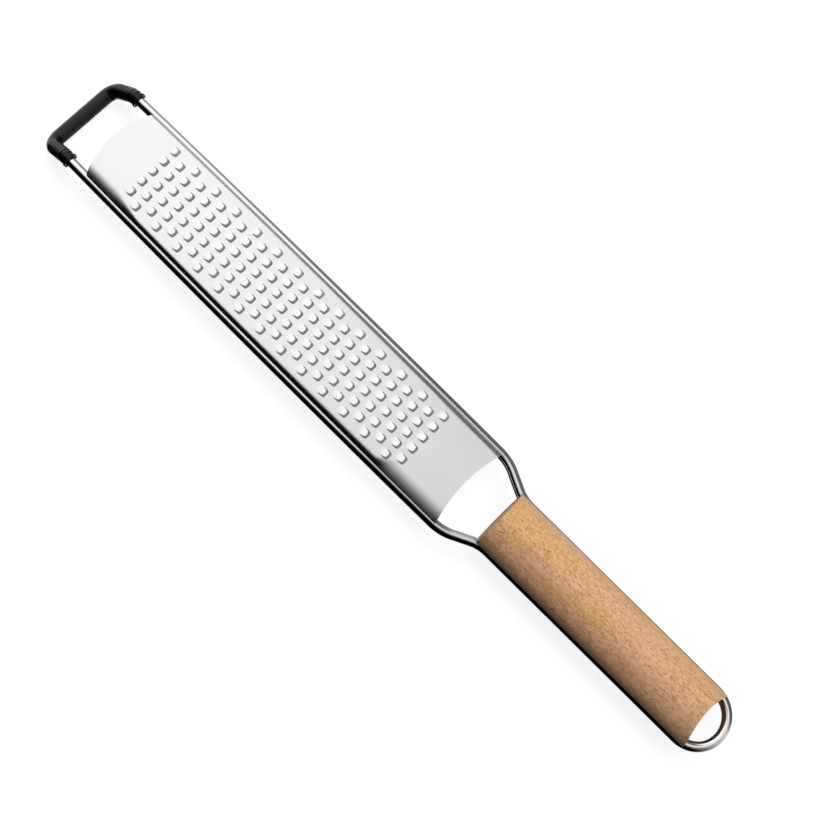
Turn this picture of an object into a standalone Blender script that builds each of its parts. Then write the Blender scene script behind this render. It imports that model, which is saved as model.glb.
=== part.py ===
"""A coarse hand grater: a toothed steel blade on a bent wire frame, with a rubber foot and a beech handle.

Metres, +Z up. +Y runs from the handle to the foot and +X across the blade, whose toothed side is up. The
grater lies on the underside of its foot and of its handle, and the origin is the middle of that base.
"""

import math

import bmesh
import bpy
from mathutils import Vector
from mathutils.geometry import delaunay_2d_cdt

# Clearance that every piece keeps to the one it touches
SEAT_GAP = 0.0003
# How far a cutter runs past what it cuts
CUT_OVERRUN = 0.004

# Wire frame, one closed loop of round wire
WIRE_DIAMETER = 0.004
RAIL_SPACING_WIDEST = 0.03705
RAIL_SPACING_AT_SLEEVE = 0.0349
WIDEST_FROM_BLADE_END = 0.055
BARE_RAIL_AT_FOOT = 0.0085
FOOT_BAR_SPACING = 0.0324
FOOT_BAR_REACH = 0.01025
FOOT_BAR_BEND_RADIUS = 0.005
FOOT_SHOULDER_BEND_RADIUS = 0.005
BLADE_END_TO_SHOULDER = 0.0034
SHOULDER_BEND_RADIUS = 0.020
NECK_BEND_RADIUS = 0.016
NECK_ANGLE = math.radians(27)
NECK_BEND_IN_HANDLE = 0.0018
LOOP_REACH = 0.00986

# Grater blade, one crowned sheet whose long edges are bent down onto the rails
BLADE_LENGTH = 0.1816
BLADE_THICKNESS = 0.0005
BLADE_EDGE_INSET = 0.0005
BLADE_FOOT_END_BULGE = 0.0039
BLADE_HANDLE_END_HOLLOW = 0.0026
BLADE_CROWN_RISE = 0.0004
EDGE_DROP = 0.0013
EDGE_BEND_BESIDE_TEETH = 0.0017
EDGE_BEND_AT_ENDS = 0.0050
EDGE_BEND_SPREAD = 0.012

# Teeth, each a tongue raised inside a U-shaped slot whose closed side faces the handle
TOOTH_ROW_PITCH = 0.0054
TOOTH_COLUMN_PITCH = 0.0056
STAGGER_SHARE = 0.25
TOOTH_WIDTH = 0.0035
TOOTH_LENGTH = 0.0030
TOOTH_CORNER = 0.0007
TOOTH_LIFT = 0.0009
SLOT_MOUTH = 0.00085
SLOT_SIDE_AT_CORNER = 0.0007
SLOT_SIDE_AT_ROOT = 0.0003
TEETH_FROM_FOOT_END = 0.0162
TEETH_FROM_HANDLE_END = 0.0250
TEETH_FROM_SIDE = 0.0015

# Rubber sleeve on the foot bar
SLEEVE_DIAMETER = 0.0058
SLEEVE_COLLAR_DIAMETER = 0.0062
SLEEVE_COLLAR_RUN = 0.0031
SLEEVE_FLAT_DEPTH = 0.00015

# Beech handle, round in section
HANDLE_LENGTH = 0.1047
HANDLE_DIAMETER = 0.0256
HANDLE_LOOP_END_HOLLOW = 0.0044
WIRE_PROUD_OF_HANDLE = 0.0007

# Facets
WIRE_BEVEL_RESOLUTION = 4
SLEEVE_BEVEL_RESOLUTION = 6
BEND_STEP = math.radians(14)
LOOP_STEP = math.radians(12)
HANDLE_SIDES = 48
END_ARC_STEPS = 12
RAIL_STEPS = 8
BLADE_SIDE_STEPS = 24
EDGE_BEND_STEPS = 4
CORNER_ANGLE = math.radians(35)

# Colours as the eye sees them: red, green, blue, metallic and roughness
POLISHED_WIRE = ((0.62, 0.62, 0.63), 1.0, 0.12)
SATIN_STEEL = ((0.72, 0.72, 0.73), 1.0, 0.28)
BLACK_RUBBER = ((0.012, 0.012, 0.013), 0.0, 0.45)
BEECH = ((0.60, 0.36, 0.19), 0.0, 0.5)

WIRE_RADIUS = WIRE_DIAMETER / 2
HANDLE_RADIUS = HANDLE_DIAMETER / 2
SLEEVE_RADIUS = SLEEVE_DIAMETER / 2
BORE_RADIUS = WIRE_RADIUS + SEAT_GAP

# Heights: the handle and the foot both rest on the ground
RAIL_HEIGHT = HANDLE_RADIUS
FOOT_BAR_HEIGHT = SLEEVE_RADIUS - SLEEVE_FLAT_DEPTH

# The blade seats where the underside of its edge is lowest, at its two ends
EDGE_TILT_AT_ENDS = 2 * math.atan(EDGE_DROP / EDGE_BEND_AT_ENDS)
SEAT_INSET = BLADE_EDGE_INSET + BLADE_THICKNESS * math.sin(EDGE_TILT_AT_ENDS)
SEAT_HEIGHT = RAIL_HEIGHT + math.sqrt(BORE_RADIUS**2 - SEAT_INSET**2)
BLADE_EDGE_HEIGHT = SEAT_HEIGHT + BLADE_THICKNESS * math.cos(EDGE_TILT_AT_ENDS)
BLADE_CROWN_HEIGHT = BLADE_EDGE_HEIGHT + EDGE_DROP + BLADE_CROWN_RISE

# Places along the grater, first counted from the neck end of the handle and then from the middle
HANDLE_RAIL_X = HANDLE_RADIUS + WIRE_PROUD_OF_HANDLE - WIRE_RADIUS
RAIL_X_WIDEST = RAIL_SPACING_WIDEST / 2
RAIL_X_AT_SLEEVE = RAIL_SPACING_AT_SLEEVE / 2
NECK_LENGTH = (RAIL_X_WIDEST - HANDLE_RAIL_X) / math.tan(NECK_ANGLE)
LOOP_TIP_RUN = HANDLE_LENGTH + LOOP_REACH
NECK_CORNER_RUN = -NECK_BEND_IN_HANDLE
SHOULDER_RUN = NECK_CORNER_RUN + NECK_LENGTH
BLADE_HANDLE_END_RUN = SHOULDER_RUN + BLADE_END_TO_SHOULDER
WIDEST_RUN = BLADE_HANDLE_END_RUN + WIDEST_FROM_BLADE_END
BLADE_FOOT_END_RUN = BLADE_HANDLE_END_RUN + BLADE_LENGTH
SLEEVE_END_RUN = BLADE_FOOT_END_RUN + BARE_RAIL_AT_FOOT
FOOT_SHOULDER_RUN = SLEEVE_END_RUN + SLEEVE_COLLAR_RUN
FOOT_BAR_RUN = FOOT_SHOULDER_RUN + FOOT_BAR_REACH
MIDDLE_RUN = (FOOT_BAR_RUN + SLEEVE_RADIUS - LOOP_TIP_RUN) / 2

NECK_END_Y = -MIDDLE_RUN
LOOP_END_Y = NECK_END_Y - HANDLE_LENGTH
LOOP_TIP_Y = NECK_END_Y - LOOP_TIP_RUN
NECK_CORNER_Y = NECK_END_Y + NECK_CORNER_RUN
SHOULDER_Y = NECK_END_Y + SHOULDER_RUN
BLADE_HANDLE_END_Y = NECK_END_Y + BLADE_HANDLE_END_RUN
WIDEST_Y = NECK_END_Y + WIDEST_RUN
BLADE_FOOT_END_Y = NECK_END_Y + BLADE_FOOT_END_RUN
TEETH_FOOT_END_Y = BLADE_FOOT_END_Y - TEETH_FROM_FOOT_END
TEETH_HANDLE_END_Y = BLADE_HANDLE_END_Y + TEETH_FROM_HANDLE_END
SLEEVE_END_Y = NECK_END_Y + SLEEVE_END_RUN
FOOT_SHOULDER_Y = NECK_END_Y + FOOT_SHOULDER_RUN
FOOT_BAR_Y = NECK_END_Y + FOOT_BAR_RUN


def clear_scene():
    for thing in list(bpy.data.objects):
        bpy.data.objects.remove(thing, do_unlink=True)


def make_material(name, finish):
    colour, metallic, roughness = finish
    material = bpy.data.materials.new(name)
    material.use_nodes = True
    shader = material.node_tree.nodes["Principled BSDF"]
    shader.inputs["Base Color"].default_value = (*colour, 1)
    shader.inputs["Metallic"].default_value = metallic
    shader.inputs["Roughness"].default_value = roughness
    return material


def add_object(name, data):
    made = bpy.data.objects.new(name, data)
    bpy.context.scene.collection.objects.link(made)
    return made


def add_cutter(name, data):
    cutter = add_object(name, data)
    cutter.hide_render = True
    cutter.display_type = "WIRE"
    return cutter


def add_boolean(target, cutter, operation):
    modifier = target.modifiers.new(cutter.name, "BOOLEAN")
    modifier.operation = operation
    modifier.object = cutter
    modifier.solver = "EXACT"


def settle(target):
    """Keeps the shape that the modifiers give, with its round faces smooth and its corners sharp."""
    graph = bpy.context.evaluated_depsgraph_get()
    mesh = bpy.data.meshes.new_from_object(target.evaluated_get(graph))
    mesh.name = target.name
    mesh.shade_smooth()
    mesh.set_sharp_from_angle(angle=CORNER_ANGLE)
    target.modifiers.clear()
    target.data = mesh


def rail_x(y):
    """Half the distance between the side rails, which bow gently between the neck and the foot."""
    bow = RAIL_X_WIDEST - RAIL_X_AT_SLEEVE
    return RAIL_X_WIDEST - bow * ((y - WIDEST_Y) / (SLEEVE_END_Y - WIDEST_Y)) ** 2


def bend(before, corner, after, radius, step):
    """Points of the arc that rounds a corner of a path."""
    towards_before = (before - corner).normalized()
    towards_after = (after - corner).normalized()
    opening = towards_before.angle(towards_after)
    turn = math.pi - opening
    tangent = radius / math.tan(opening / 2)
    start = corner + towards_before * tangent
    middle = corner + (towards_before + towards_after).normalized() * radius / math.sin(opening / 2)
    spoke = start - middle
    sideways = -towards_before * radius
    count = max(1, math.ceil(turn / step))
    return [
        middle + spoke * math.cos(turn * i / count) + sideways * math.sin(turn * i / count)
        for i in range(count + 1)
    ]


def foot_half_path():
    """The right half of the foot's centre line, from the middle of its bar to the open end of its sleeve."""
    bar_middle = Vector((0, FOOT_BAR_Y, FOOT_BAR_HEIGHT))
    bar_corner = Vector((FOOT_BAR_SPACING / 2, FOOT_BAR_Y, FOOT_BAR_HEIGHT))
    shoulder = Vector((rail_x(FOOT_SHOULDER_Y), FOOT_SHOULDER_Y, RAIL_HEIGHT))
    sleeve_end = Vector((rail_x(SLEEVE_END_Y), SLEEVE_END_Y, RAIL_HEIGHT))
    path = [bar_middle]
    path += bend(bar_middle, bar_corner, shoulder, FOOT_BAR_BEND_RADIUS, BEND_STEP)
    path += bend(bar_corner, shoulder, sleeve_end, FOOT_SHOULDER_BEND_RADIUS, BEND_STEP)
    path.append(sleeve_end)
    return path


def half_frame_path():
    """The right half of the wire's centre line, from the middle of the foot bar to that of the loop."""
    shoulder = Vector((rail_x(SHOULDER_Y), SHOULDER_Y, RAIL_HEIGHT))
    neck_corner = Vector((HANDLE_RAIL_X, NECK_CORNER_Y, RAIL_HEIGHT))
    loop_corner_y = LOOP_TIP_Y + WIRE_RADIUS
    loop_corner = Vector((HANDLE_RAIL_X, loop_corner_y, RAIL_HEIGHT))
    loop_middle = Vector((0, loop_corner_y, RAIL_HEIGHT))
    path = foot_half_path()
    rail_end_y = SHOULDER_Y + 2 * SHOULDER_BEND_RADIUS * math.tan(NECK_ANGLE / 2)
    for i in range(1, RAIL_STEPS + 1):
        y = SLEEVE_END_Y + (rail_end_y - SLEEVE_END_Y) * i / RAIL_STEPS
        path.append(Vector((rail_x(y), y, RAIL_HEIGHT)))
    path += bend(path[-1], shoulder, neck_corner, SHOULDER_BEND_RADIUS, BEND_STEP)
    path += bend(shoulder, neck_corner, loop_corner, NECK_BEND_RADIUS, BEND_STEP)
    path += bend(neck_corner, loop_corner, loop_middle, HANDLE_RAIL_X, LOOP_STEP)
    return path


def mirrored(point):
    return Vector((-point.x, point.y, point.z))


def frame_path():
    right = half_frame_path()
    left = [mirrored(point) for point in reversed(right[1:-1])]
    return right + left


def foot_path():
    """The centre line that the rubber sleeve follows, from one open end to the other."""
    right = foot_half_path()
    left = [mirrored(point) for point in reversed(right[1:])]
    return left + right


def tube_mesh(name, points, radius, resolution, closed=False, swell=None):
    """A mesh made by a round bevel along the points. Swell scales the radius at each point."""
    curve = bpy.data.curves.new(name, "CURVE")
    curve.dimensions = "3D"
    curve.bevel_depth = radius
    curve.bevel_resolution = resolution
    curve.use_fill_caps = not closed
    spline = curve.splines.new("POLY")
    spline.points.add(len(points) - 1)
    for i, point in enumerate(points):
        spline.points[i].co = (*point, 1)
        spline.points[i].radius = swell[i] if swell else 1
    spline.use_cyclic_u = closed
    guide = bpy.data.objects.new(name, curve)
    mesh = bpy.data.meshes.new_from_object(guide)
    mesh.name = name
    bpy.data.objects.remove(guide)
    bpy.data.curves.remove(curve)
    mesh.shade_smooth()
    return mesh


def extended(points, run):
    """The points with each end carried on in a straight line."""
    first = points[0] + (points[0] - points[1]).normalized() * run
    last = points[-1] + (points[-1] - points[-2]).normalized() * run
    return [first, *points, last]


def block_mesh(name, low, high):
    mesh = bpy.data.meshes.new(name)
    block = bmesh.new()
    bmesh.ops.create_cube(block, size=1)
    for vertex in block.verts:
        share = vertex.co + Vector((0.5, 0.5, 0.5))
        vertex.co = [low[i] + (high[i] - low[i]) * share[i] for i in range(3)]
    block.to_mesh(mesh)
    block.free()
    return mesh


def make_wire_frame():
    mesh = tube_mesh("wire_frame", frame_path(), WIRE_RADIUS, WIRE_BEVEL_RESOLUTION, closed=True)
    mesh.materials.append(make_material("polished_wire", POLISHED_WIRE))
    add_object("wire_frame", mesh)


def make_foot_sleeve():
    path = foot_path()
    collar_share = SLEEVE_COLLAR_DIAMETER / SLEEVE_DIAMETER
    swell = [1] * len(path)
    swell[0] = collar_share
    swell[-1] = collar_share
    mesh = tube_mesh("foot_sleeve", path, SLEEVE_RADIUS, SLEEVE_BEVEL_RESOLUTION, swell=swell)
    sleeve = add_object("foot_sleeve", mesh)
    mesh.materials.append(make_material("black_rubber", BLACK_RUBBER))
    bore_path = extended(path, CUT_OVERRUN)
    bore = add_cutter("sleeve_bore", tube_mesh("sleeve_bore", bore_path, BORE_RADIUS, WIRE_BEVEL_RESOLUTION))
    add_boolean(sleeve, bore, "DIFFERENCE")
    reach = FOOT_BAR_SPACING
    low = (-reach, FOOT_SHOULDER_Y - reach, -CUT_OVERRUN)
    high = (reach, FOOT_BAR_Y + reach, 0)
    ground = add_cutter("sleeve_ground", block_mesh("sleeve_ground", low, high))
    add_boolean(sleeve, ground, "DIFFERENCE")
    settle(sleeve)


def loop_end_y(x):
    """Where the handle's hollowed end lies. Its middle lies the hollow's depth further in."""
    return LOOP_END_Y + HANDLE_LOOP_END_HOLLOW * (1 - (x / HANDLE_RADIUS) ** 2)


def handle_plan():
    """The handle seen from above, wider than its round: a straight neck end and a hollowed loop end."""
    half_width = HANDLE_RADIUS + CUT_OVERRUN
    across = [half_width * (2 * i / END_ARC_STEPS - 1) for i in range(END_ARC_STEPS + 1)]
    neck = [(half_width, NECK_END_Y), (-half_width, NECK_END_Y)]
    loop = [(x, loop_end_y(x)) for x in across]
    return neck + loop


def prism_mesh(name, plan, low, high):
    """A solid that stands on a plan from one height to another."""
    mesh = bpy.data.meshes.new(name)
    solid = bmesh.new()
    face = solid.faces.new([solid.verts.new((x, y, low)) for x, y in plan])
    grown = bmesh.ops.extrude_face_region(solid, geom=[face])
    top = [part for part in grown["geom"] if isinstance(part, bmesh.types.BMVert)]
    bmesh.ops.translate(solid, verts=top, vec=(0, 0, high - low))
    bmesh.ops.recalc_face_normals(solid, faces=solid.faces)
    solid.to_mesh(mesh)
    solid.free()
    return mesh


def rod_mesh(name, radius, length, sides):
    """A rod whose flat sides, and not its corners, lie at the radius."""
    mesh = bpy.data.meshes.new(name)
    rod = bmesh.new()
    reach = radius / math.cos(math.pi / sides)
    bmesh.ops.create_cone(rod, cap_ends=True, segments=sides, radius1=reach, radius2=reach, depth=length)
    rod.to_mesh(mesh)
    rod.free()
    return mesh


def make_beech_handle():
    low = -CUT_OVERRUN
    high = HANDLE_DIAMETER + CUT_OVERRUN
    mesh = prism_mesh("beech_handle", handle_plan(), low, high)
    mesh.materials.append(make_material("beech", BEECH))
    handle = add_object("beech_handle", mesh)
    neck_end = NECK_END_Y + CUT_OVERRUN
    loop_end = LOOP_END_Y - CUT_OVERRUN
    turned = rod_mesh("handle_round", HANDLE_RADIUS, neck_end - loop_end, HANDLE_SIDES)
    round_cutter = add_cutter("handle_round", turned)
    round_cutter.rotation_euler = (math.pi / 2, math.pi / HANDLE_SIDES, 0)
    round_cutter.location = (0, (neck_end + loop_end) / 2, HANDLE_RADIUS)
    add_boolean(handle, round_cutter, "INTERSECT")
    grooves = tube_mesh("handle_grooves", frame_path(), BORE_RADIUS, WIRE_BEVEL_RESOLUTION, closed=True)
    add_boolean(handle, add_cutter("handle_grooves", grooves), "DIFFERENCE")
    settle(handle)


def blade_edge_x(y):
    return rail_x(y) - BLADE_EDGE_INSET


def edge_bend_width(y):
    """How wide the bend of the blade's edge is: narrow beside the teeth, and wide towards either end."""
    beyond_teeth = max(0, y - TEETH_FOOT_END_Y, TEETH_HANDLE_END_Y - y)
    share = min(1, beyond_teeth / EDGE_BEND_SPREAD)
    eased_share = share * share * (3 - 2 * share)
    return EDGE_BEND_BESIDE_TEETH + (EDGE_BEND_AT_ENDS - EDGE_BEND_BESIDE_TEETH) * eased_share


def blade_surface(x, y):
    """Height of the blade's upper face and its sideways slant: a low crown, and a round bend at its edge."""
    half = blade_edge_x(y)
    width = edge_bend_width(y)
    bend_radius = (width**2 + EDGE_DROP**2) / (2 * EDGE_DROP)
    into_bend = min(bend_radius, max(0, abs(x) - (half - width)))
    crown_fall = BLADE_CROWN_RISE * (x / half) ** 2
    bend_fall = bend_radius - math.sqrt(bend_radius**2 - into_bend**2)
    slant = math.copysign(math.asin(into_bend / bend_radius), x)
    return BLADE_CROWN_HEIGHT - crown_fall - bend_fall, slant


def bend_line_x(step, y):
    """Half the distance between the two lines that lie a number of steps into the edges' bends."""
    return blade_edge_x(y) - edge_bend_width(y) * (1 - step / EDGE_BEND_STEPS)


def blade_end_points(corner_y, depth):
    """Points across the blade's rounded end, from left to right. Its middle lies the depth further on."""
    half = blade_edge_x(corner_y)
    right = [bend_line_x(step, corner_y) for step in range(EDGE_BEND_STEPS + 1)]
    flat = [right[0] * (2 * i / END_ARC_STEPS - 1) for i in range(1, END_ARC_STEPS)]
    left = [-x for x in reversed(right)]
    return [Vector((x, corner_y + depth * (1 - (x / half) ** 2))) for x in left + flat + right]


def bend_line_points(side, step, low, high):
    """Points along one line of an edge's bend, between the two ends of the blade."""
    places = [low + (high - low) * i / BLADE_SIDE_STEPS for i in range(1, BLADE_SIDE_STEPS)]
    return [Vector((side * bend_line_x(step, y), y)) for y in places]


def tooth_centres():
    """Centres of the teeth: rows along the blade, each next row shifted sideways by half a pitch."""
    rows = round((TEETH_FOOT_END_Y - TEETH_HANDLE_END_Y) / TOOTH_ROW_PITCH) + 1
    clear_width = 2 * blade_edge_x(BLADE_FOOT_END_Y) - 2 * TEETH_FROM_SIDE - TOOTH_WIDTH
    columns = math.floor(clear_width / TOOTH_COLUMN_PITCH + 0.5)
    first_y = TEETH_FOOT_END_Y
    centres = []
    for row in range(rows):
        shift = STAGGER_SHARE if row % 2 == 0 else -STAGGER_SHARE
        for column in range(columns):
            across = column - (columns - 1) / 2 + shift
            centres.append(Vector((across * TOOTH_COLUMN_PITCH, first_y - row * TOOTH_ROW_PITCH)))
    return centres


def slot_outline(centre):
    """The slot round one tooth, anticlockwise. Its last four points are the tongue, from root to root."""
    half = TOOTH_WIDTH / 2
    root_y = centre.y + TOOTH_LENGTH / 2
    end_y = centre.y - TOOTH_LENGTH / 2
    edge_y = end_y + SLOT_MOUTH
    root_x = half - SLOT_SIDE_AT_ROOT
    edge_x = half - SLOT_SIDE_AT_CORNER
    outer = [
        (-half, root_y),
        (-half, end_y + TOOTH_CORNER),
        (TOOTH_CORNER - half, end_y),
        (half - TOOTH_CORNER, end_y),
        (half, end_y + TOOTH_CORNER),
        (half, root_y),
    ]
    tongue = [(root_x, root_y), (edge_x, edge_y), (-edge_x, edge_y), (-root_x, root_y)]
    return [Vector((centre.x + x, y)) for x, y in outer + tongue]


def blade_plan():
    """The blade seen from above as triangles: its points, which of them are raised, and its triangles."""
    points = []
    edges = []
    loops = []
    raised = set()

    def add(new):
        first = len(points)
        points.extend(new)
        return list(range(first, len(points)))

    foot_end = add(blade_end_points(BLADE_FOOT_END_Y, BLADE_FOOT_END_BULGE))
    handle_end = add(blade_end_points(BLADE_HANDLE_END_Y, BLADE_HANDLE_END_HOLLOW))
    sides = {}
    for side in (-1, 1):
        for step in range(EDGE_BEND_STEPS + 1):
            from_edge = EDGE_BEND_STEPS - step
            place = from_edge if side < 0 else -1 - from_edge
            first = handle_end[place]
            last = foot_end[place]
            between = add(bend_line_points(side, step, points[first].y, points[last].y))
            line = [first, *between, last]
            edges += zip(line, line[1:])
            sides[side] = line
    loops.append(handle_end + sides[1][1:] + foot_end[-2::-1] + sides[-1][-2:0:-1])
    for centre in tooth_centres():
        slot = add(slot_outline(centre))
        loops.append(slot)
        raised.update(slot[7:9])
        edges.append((slot[6], slot[9]))
    closest = BLADE_THICKNESS / 1000
    placed, _, triangles, sources, _, inside = delaunay_2d_cdt(points, edges, loops, 0, closest)
    lifted = [bool(raised.intersection(source)) for source in sources]
    kept = [triangle for triangle, loop in zip(triangles, inside) if loop == [0]]
    return placed, lifted, kept


def make_grater_blade():
    placed, lifted, triangles = blade_plan()
    mesh = bpy.data.meshes.new("grater_blade")
    sheet = bmesh.new()
    top = []
    bottom = []
    for point, is_raised in zip(placed, lifted):
        height, slant = blade_surface(point.x, point.y)
        upper = Vector((point.x, point.y, height + (TOOTH_LIFT if is_raised else 0)))
        outward = Vector((math.sin(slant), 0, math.cos(slant)))
        top.append(sheet.verts.new(upper))
        bottom.append(sheet.verts.new(upper - outward * BLADE_THICKNESS))
    rims = set()
    for a, b, c in triangles:
        sheet.faces.new((top[a], top[b], top[c]))
        sheet.faces.new((bottom[c], bottom[b], bottom[a]))
        for start, end in ((a, b), (b, c), (c, a)):
            if (end, start) in rims:
                rims.remove((end, start))
            else:
                rims.add((start, end))
    for start, end in sorted(rims):
        sheet.faces.new((top[end], top[start], bottom[start], bottom[end]))
    unused = [vertex for vertex in sheet.verts if not vertex.link_faces]
    bmesh.ops.delete(sheet, geom=unused, context="VERTS")
    sheet.to_mesh(mesh)
    sheet.free()
    mesh.materials.append(make_material("satin_steel", SATIN_STEEL))
    settle(add_object("grater_blade", mesh))


clear_scene()
make_wire_frame()
make_grater_blade()
make_foot_sleeve()
make_beech_handle()
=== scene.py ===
"""A coarse hand grater lying on a pale floor, in metres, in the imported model's frame.

+Y runs from the handle to the foot, +X across the blade, and +Z up. A ring of wire is swept into the frame,
one tooth is modelled and copied over the blade, and the foot and the handle are shaped from a tube and a rod.
"""

import math

import bmesh
import bpy
from mathutils import Matrix, Vector


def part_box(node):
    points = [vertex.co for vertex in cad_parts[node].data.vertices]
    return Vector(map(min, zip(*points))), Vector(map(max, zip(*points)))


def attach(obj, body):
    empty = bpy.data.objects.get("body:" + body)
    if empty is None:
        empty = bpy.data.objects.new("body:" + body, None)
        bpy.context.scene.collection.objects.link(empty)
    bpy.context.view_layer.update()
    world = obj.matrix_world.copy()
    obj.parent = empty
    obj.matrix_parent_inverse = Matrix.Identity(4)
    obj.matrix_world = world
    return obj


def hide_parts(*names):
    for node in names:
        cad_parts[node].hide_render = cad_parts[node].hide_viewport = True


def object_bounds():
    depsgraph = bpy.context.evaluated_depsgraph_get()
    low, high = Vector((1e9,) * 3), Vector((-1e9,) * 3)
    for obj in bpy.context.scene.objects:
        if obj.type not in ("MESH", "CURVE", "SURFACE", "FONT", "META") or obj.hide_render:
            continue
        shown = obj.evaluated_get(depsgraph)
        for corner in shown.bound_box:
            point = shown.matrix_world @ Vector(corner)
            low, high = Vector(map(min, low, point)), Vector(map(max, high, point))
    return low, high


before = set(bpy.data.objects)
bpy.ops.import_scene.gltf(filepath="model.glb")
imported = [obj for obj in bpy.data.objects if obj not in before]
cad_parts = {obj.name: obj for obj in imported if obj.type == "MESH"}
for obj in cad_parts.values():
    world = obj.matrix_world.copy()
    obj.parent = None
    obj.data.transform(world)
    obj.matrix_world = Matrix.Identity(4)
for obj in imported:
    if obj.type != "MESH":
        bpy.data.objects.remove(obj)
CAD_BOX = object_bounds()

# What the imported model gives: where each node lies
FOOT_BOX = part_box("foot_sleeve")
BLADE_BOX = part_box("grater_blade")
HANDLE_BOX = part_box("beech_handle")

# Modelling
TOUCHING = 1e-6
SEAM = 1e-5
SHORTEST_RUN = 1e-7
QUARTER_TURN = math.pi / 2
ACROSS = 0
ALONG = 1
EDGE_ROUND_STEPS = 3

# Wire frame
WIRE_RADIUS = 0.0020
RAIL_X_WIDEST = 0.018525
RAIL_X_AT_SLEEVE = 0.01745
WIDEST_FROM_BLADE_END = 0.055
FOOT_BAR_HALF_LENGTH = 0.0162
FOOT_BAR_REACH = 0.01025
FOOT_BEND_RADIUS = 0.005
BLADE_END_TO_SHOULDER = 0.0034
SHOULDER_BEND_RADIUS = 0.020
NECK_BEND_RADIUS = 0.016
NECK_ANGLE = math.radians(27)
NECK_BEND_IN_HANDLE = 0.0018
WIRE_PROUD_OF_HANDLE = 0.0007
WIRE_SIDES = 32
BEND_STEP = math.radians(3.5)
BOW_STEPS = 24
LEAST_BOW_RADIUS = 1.0
TUBE_SHARP_FROM = 60

# Rubber foot
SLEEVE_RADIUS = 0.0029
SLEEVE_WALL = 0.00068
SLEEVE_FLAT_DEPTH = 0.00015
SLEEVE_EDGE_ROUND = 0.00025
SLEEVE_ROUND_FROM = 50
SLEEVE_COLLAR_RUN = 0.0031
COLLAR_RING_SHARES = (0.0, 0.12, 0.24, 0.62, 1.0)
COLLAR_SWELL_SHARES = (1.0, 1.075, 1.0, 0.99)
SLEEVE_SIDES = 40
RIB_COUNT = 9
RIB_STEPS = 6
RIB_DEPTH = 0.0002

# Blade
BLADE_THICKNESS = 0.0005
BLADE_EDGE_INSET = 0.0005
BLADE_EDGE_RISE = 0.00261
BLADE_FOOT_END_BULGE = 0.0039
BLADE_HANDLE_END_HOLLOW = 0.0026
BLADE_CROWN_RISE = 0.0004
EDGE_DROP = 0.0013
EDGE_BEND_BESIDE_TEETH = 0.0017
EDGE_BEND_LEFT_FOOT_END = 0.0045
EDGE_BEND_LEFT_HANDLE_END = 0.0060
EDGE_BEND_RIGHT_FOOT_END = 0.00135
EDGE_BEND_RIGHT_HANDLE_END = 0.0020
EDGE_BEND_FOOT_RUN = 0.014
EDGE_BEND_FOOT_SPREAD = 0.017
EDGE_BEND_HANDLE_RUN = 0.012
EDGE_BEND_HANDLE_SPREAD = 0.009
EDGE_BEND_EVEN_Y = 0.08
EDGE_BEND_GROWTH_SHARE = 0.12
BLADE_OFF_CENTRE = -0.00035
MARGIN_STEPS = 8
MARGIN_CROWDING = 1.8
FOOT_END_STEPS = 12
HANDLE_END_STEPS = 18
BLADE_SHARP_FROM = 40

# Teeth, each in its own cell of the sheet, with places counted from the cell's middle
ROW_PITCH = 0.0054
COLUMN_PITCH = 0.0056
ROWS = 27
COLUMNS = 5
STAGGER = COLUMN_PITCH / 4
FIRST_ROW_FROM_FOOT_END = 0.0162
TEETH_OFF_CENTRE = -0.00015
CELL_COLUMNS = 8
CELL_ROWS = 5
BESIDE_SLOT_X = 0.00225
SLOT_HALF_WIDTH = 0.00175
SLOT_CLOSED_Y = -0.00168
SLOT_CLOSED_BULGE = 0.00008
SLOT_CORNER_IN = 0.00016
TONGUE_EDGE_Y = -0.00066
TONGUE_MIDDLE_Y = 0.00024
TONGUE_ROOT_Y = 0.00114
TONGUE_HALF_EDGE = 0.00118
TONGUE_HALF_MIDDLE = 0.00128
TONGUE_HALF_ROOT = 0.00146
TONGUE_EDGE_LIFT = 0.0008
TONGUE_MIDDLE_LIFT = 0.00042
TONGUE_ROOT_LIFT = 0.00006

# Handle
HANDLE_SIDES = 128
LOOP_END_HOLLOW = 0.0044
LOOP_ARC_SIDES = 192
LOOP_ARC_HEIGHT = 0.08
GROOVE_RADIUS = 0.00206
GROOVE_SIDES = 32
GROOVE_OVERRUN = 0.04
GROOVE_OPENING = 0.004
HANDLE_EDGE_ROUND = 0.0006
HANDLE_ROUND_FROM = 40
HANDLE_SHARP_FROM = 35
END_FACE_SLANT = 0.8

# Where things lie on the grater
RAIL_HEIGHT = HANDLE_BOX[1].z / 2
HANDLE_RADIUS = RAIL_HEIGHT
HANDLE_RAIL_X = HANDLE_RADIUS + WIRE_PROUD_OF_HANDLE - WIRE_RADIUS
NECK_END_Y = HANDLE_BOX[1].y
LOOP_END_Y = HANDLE_BOX[0].y
LOOP_MIDDLE_Y = CAD_BOX[0][1] + WIRE_RADIUS
BLADE_HANDLE_END_Y = BLADE_BOX[0].y
BLADE_FOOT_END_Y = BLADE_BOX[1].y - BLADE_FOOT_END_BULGE
FOOT_BAR_Y = CAD_BOX[1][1] - SLEEVE_RADIUS
FOOT_SHOULDER_Y = FOOT_BAR_Y - FOOT_BAR_REACH
SLEEVE_END_Y = FOOT_SHOULDER_Y - SLEEVE_COLLAR_RUN
FOOT_BAR_HEIGHT = FOOT_BOX[0].z + SLEEVE_RADIUS - SLEEVE_FLAT_DEPTH
SHOULDER_Y = BLADE_HANDLE_END_Y - BLADE_END_TO_SHOULDER
NECK_CORNER_Y = NECK_END_Y - NECK_BEND_IN_HANDLE
WIDEST_Y = BLADE_HANDLE_END_Y + WIDEST_FROM_BLADE_END
TEETH_FOOT_END_Y = BLADE_FOOT_END_Y - FIRST_ROW_FROM_FOOT_END + ROW_PITCH / 2
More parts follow.
